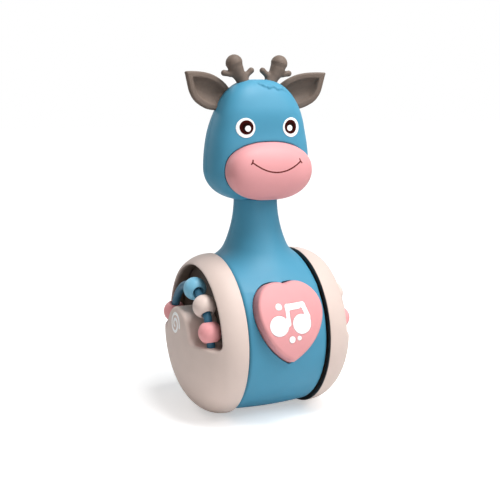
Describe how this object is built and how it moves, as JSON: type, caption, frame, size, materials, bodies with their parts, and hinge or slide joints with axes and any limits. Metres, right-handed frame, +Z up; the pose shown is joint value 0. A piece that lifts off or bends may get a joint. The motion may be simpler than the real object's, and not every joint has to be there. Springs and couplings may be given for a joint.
{
  "type": "roly poly toy",
  "caption": "Roly-poly deer toy: a weighted drum body with neck and head hangs from an axle between domed bead wheels and rights itself; a heart button plays sounds",
  "frame": {"origin": "On the floor, below the middle of the axle", "axes": "+Z up, -Y the way the deer faces, +X along the axle to the viewer's right"},
  "size_m": [0.0732, 0.0718, 0.15],
  "materials": {
    "blue_shell": "satin",
    "pink_shell": "satin",
    "beige_shell": "satin",
    "brown_rubber": "matte",
    "brown_plate": "satin",
    "white_print": "matte",
    "dark_print": "matte",
    "white_lens": "satin",
    "pink_bead": "satin",
    "beige_bead": "satin",
    "blue_bead": "satin",
    "rod_plastic": "satin",
    "steel": "satin",
    "weight_steel": "matte",
    "board_green": "satin",
    "black_plastic": "matte",
    "lamp_lens": "gloss",
    "speaker_metal": "matte",
    "wire_cover": "satin",
    "cell_case": "satin",
    "contact_brass": "satin"
  },
  "bodies": {
    "body": {"body_front_shell": "blue_shell", "body_rear_shell": "blue_shell", "head_front_shell": "blue_shell", "head_rear_shell": "blue_shell", "muzzle": "pink_shell", "left_ear": "brown_rubber", "right_ear": "brown_rubber", "left_antler": "brown_rubber", "right_antler": "brown_rubber", "left_eye": "white_print", "right_eye": "white_print", "left_pupil": "dark_print", "right_pupil": "dark_print", "counterweight": "weight_steel", "axle": "steel", "axle_washers": "steel", "axle_end_screws": "steel", "circuit_board": "board_green", "sound_chip": "black_plastic", "lamp": "lamp_lens", "switch_body": "black_plastic", "speaker": "speaker_metal", "speaker_wire": "wire_cover", "battery_wire": "wire_cover", "button_cells": "cell_case", "battery_contacts": "contact_brass", "battery_door": "blue_shell", "battery_door_screws": "steel", "body_screws": "steel", "head_screws": "steel", "muzzle_screws": "steel"},
    "heart": {"heart_button": "pink_shell", "note_lens": "white_lens", "switch_plunger": "black_plastic"},
    "left_wheel": {"left_wheel_cover": "beige_shell", "left_wheel_plate": "brown_plate", "left_bead_rod": "rod_plastic", "left_wheel_screws": "steel"},
    "left_front_pink": {"left_bead_front_pink": "pink_bead"},
    "left_beige": {"left_bead_beige": "beige_bead"},
    "left_blue": {"left_bead_blue": "blue_bead"},
    "left_rear_pink": {"left_bead_rear_pink": "pink_bead"},
    "right_wheel": {"right_wheel_cover": "beige_shell", "right_wheel_plate": "brown_plate", "right_bead_rod": "rod_plastic", "right_wheel_screws": "steel"},
    "right_front_pink": {"right_bead_front_pink": "pink_bead"},
    "right_beige": {"right_bead_beige": "beige_bead"},
    "right_blue": {"right_bead_blue": "blue_bead"},
    "right_rear_pink": {"right_bead_rear_pink": "pink_bead"}
  },
  "joints": [
    {"name": "heart_press", "type": "slide", "parent": "body", "child": "heart", "axis": [0, 0.9511, -0.309], "range_m": [0, 0.001], "stiffness_N_per_m": 800, "springref_m": -0.0005},
    {"name": "left_wheel_spin", "type": "hinge", "parent": "body", "child": "left_wheel", "pos_m": [0, 0, 0.034], "axis": [1, 0, 0], "continuous": true},
    {"name": "left_front_pink_slide", "type": "hinge", "parent": "left_wheel", "child": "left_front_pink", "pos_m": [-0.0295, 0, 0.034], "axis": [-1, 0, 0], "range_deg": [-2, 20]},
    {"name": "left_beige_slide", "type": "hinge", "parent": "left_front_pink", "child": "left_beige", "pos_m": [-0.0295, 0, 0.034], "axis": [-1, 0, 0], "range_deg": [-3, 20]},
    {"name": "left_blue_slide", "type": "hinge", "parent": "left_beige", "child": "left_blue", "pos_m": [-0.0295, 0, 0.034], "axis": [-1, 0, 0], "range_deg": [-4, 19]},
    {"name": "left_rear_pink_slide", "type": "hinge", "parent": "left_wheel", "child": "left_rear_pink", "pos_m": [-0.0295, 0, 0.034], "axis": [-1, 0, 0], "range_deg": [-58, 1]},
    {"name": "right_wheel_spin", "type": "hinge", "parent": "body", "child": "right_wheel", "pos_m": [0, 0, 0.034], "axis": [1, 0, 0], "continuous": true},
    {"name": "right_front_pink_slide", "type": "hinge", "parent": "right_wheel", "child": "right_front_pink", "pos_m": [0.0295, 0, 0.034], "axis": [-1, 0, 0], "range_deg": [-2, 20]},
    {"name": "right_beige_slide", "type": "hinge", "parent": "right_front_pink", "child": "right_beige", "pos_m": [0.0295, 0, 0.034], "axis": [-1, 0, 0], "range_deg": [-3, 20]},
    {"name": "right_blue_slide", "type": "hinge", "parent": "right_beige", "child": "right_blue", "pos_m": [0.0295, 0, 0.034], "axis": [-1, 0, 0], "range_deg": [-4, 19]},
    {"name": "right_rear_pink_slide", "type": "hinge", "parent": "right_wheel", "child": "right_rear_pink", "pos_m": [0.0295, 0, 0.034], "axis": [-1, 0, 0], "range_deg": [-58, 1]}
  ]
}
